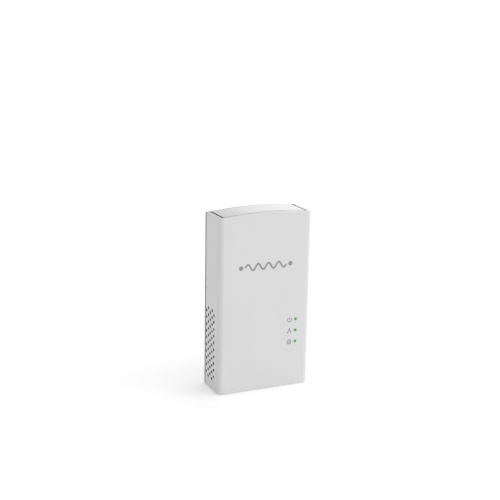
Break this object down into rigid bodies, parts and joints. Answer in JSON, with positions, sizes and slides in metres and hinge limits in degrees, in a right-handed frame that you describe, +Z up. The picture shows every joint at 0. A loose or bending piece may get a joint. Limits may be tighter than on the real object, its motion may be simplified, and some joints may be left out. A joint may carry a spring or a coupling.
{
  "type": "powerline adapter",
  "caption": "Plug-in powerline network adapter: slim upright white case with side vents, front lamps, mains prongs on the rear, Ethernet jack and pairing button underneath.",
  "frame": {"origin": "centre of the plug face on the rear face, level with the outlet's centre", "axes": "+X to the right seen from the front, +Y out of the rear face into the wall along the prongs, +Z up"},
  "size_m": [0.0554, 0.0417, 0.1029],
  "materials": {
    "aluminium": "extruded, bead-blasted",
    "black_plastic": "glass-filled, satin",
    "board_green": "glass-epoxy board with green solder mask",
    "capacitor_sleeve": "shrink sleeve on an aluminium can",
    "chip_black": "moulded epoxy",
    "clear_plastic": "clear moulding that glows green",
    "copper_wire": "enamelled copper wire",
    "disc_blue": "dipped epoxy",
    "ferrite": "ground ferrite",
    "film_yellow": "moulded film capacitor box and dipped disc",
    "fuse_brown": "moulded body",
    "gold": "gold-plated spring wire",
    "insulation": "thin polyester sheet",
    "label_silver": "matt foil label, blank",
    "lead_black": "soft insulation",
    "lead_green": "soft insulation",
    "lead_white": "soft insulation",
    "led_green": "epoxy lamp, lit green",
    "nickel": "nickel-plated brass, bright",
    "plug_plastic": "fine spark-eroded texture",
    "screw_steel": "zinc-plated steel",
    "thermal_pad": "soft silicone pad",
    "tinned_steel": "tinned sheet steel",
    "white_gloss": "smooth, glossy",
    "white_satin": "satin",
    "winding_tape": "polyester tape over copper wire"
  },
  "bodies": {
    "case": {"board_header": "black_plastic", "bridge_rectifier": "chip_black", "bulk_capacitor_1": "capacitor_sleeve", "bulk_capacitor_2": "capacitor_sleeve", "choke_core": "ferrite", "choke_winding": "copper_wire", "coupling_transformer": "ferrite", "cover_screw_1": "screw_steel", "cover_screw_2": "screw_steel", "cover_screw_3": "screw_steel", "cover_screw_4": "screw_steel", "crystal": "tinned_steel", "ethernet_chip": "chip_black", "ethernet_transformer": "chip_black", "front_cover": "white_gloss", "fuse": "fuse_brown", "ground_lead": "lead_green", "ground_pin": "nickel", "heatsink": "aluminium", "insulation_sheet": "insulation", "light_pipe": "clear_plastic", "line_blade": "nickel", "line_lead": "lead_black", "logic_board": "board_green", "memory_chip": "chip_black", "network_led": "led_green", "neutral_blade": "nickel", "neutral_lead": "lead_white", "output_capacitor_1": "capacitor_sleeve", "output_capacitor_2": "capacitor_sleeve", "pairing_switch": "black_plastic", "plug_carrier": "plug_plastic", "power_board": "board_green", "power_controller": "chip_black", "power_led": "led_green", "powerline_chip": "chip_black", "rating_label": "label_silver", "rear_cover": "white_gloss", "reset_switch": "black_plastic", "rj45_contact_1": "gold", "rj45_contact_2": "gold", "rj45_contact_3": "gold", "rj45_contact_4": "gold", "rj45_contact_5": "gold", "rj45_contact_6": "gold", "rj45_contact_7": "gold", "rj45_contact_8": "gold", "rj45_housing": "black_plastic", "rj45_shield": "tinned_steel", "socket_led": "led_green", "thermal_pad": "thermal_pad", "transformer_core": "ferrite", "transformer_winding": "winding_tape", "varistor": "disc_blue", "x_capacitor": "film_yellow", "y_capacitor": "film_yellow"},
    "pairing_button": {"pairing_button": "white_satin"},
    "pairing_plunger": {"pairing_plunger": "white_satin"},
    "reset_plunger": {"reset_plunger": "white_satin"}
  },
  "joints": [
    {"name": "pairing_press", "type": "slide", "parent": "case", "child": "pairing_button", "axis": [0, 0, 1], "range_m": [0, 0.0004], "stiffness_N_per_m": 200, "springref_m": -0.002},
    {"name": "pairing_plunger_slide", "type": "slide", "parent": "case", "child": "pairing_plunger", "axis": [0, 0, 1], "range_m": [0, 0.0004]},
    {"name": "reset_press", "type": "slide", "parent": "case", "child": "reset_plunger", "axis": [0, 0, 1], "range_m": [0, 0.0003], "stiffness_N_per_m": 200, "springref_m": -0.002}
  ],
  "couplings": [
    {"joint": "pairing_plunger_slide", "follows": "pairing_press", "ratio": 1}
  ]
}
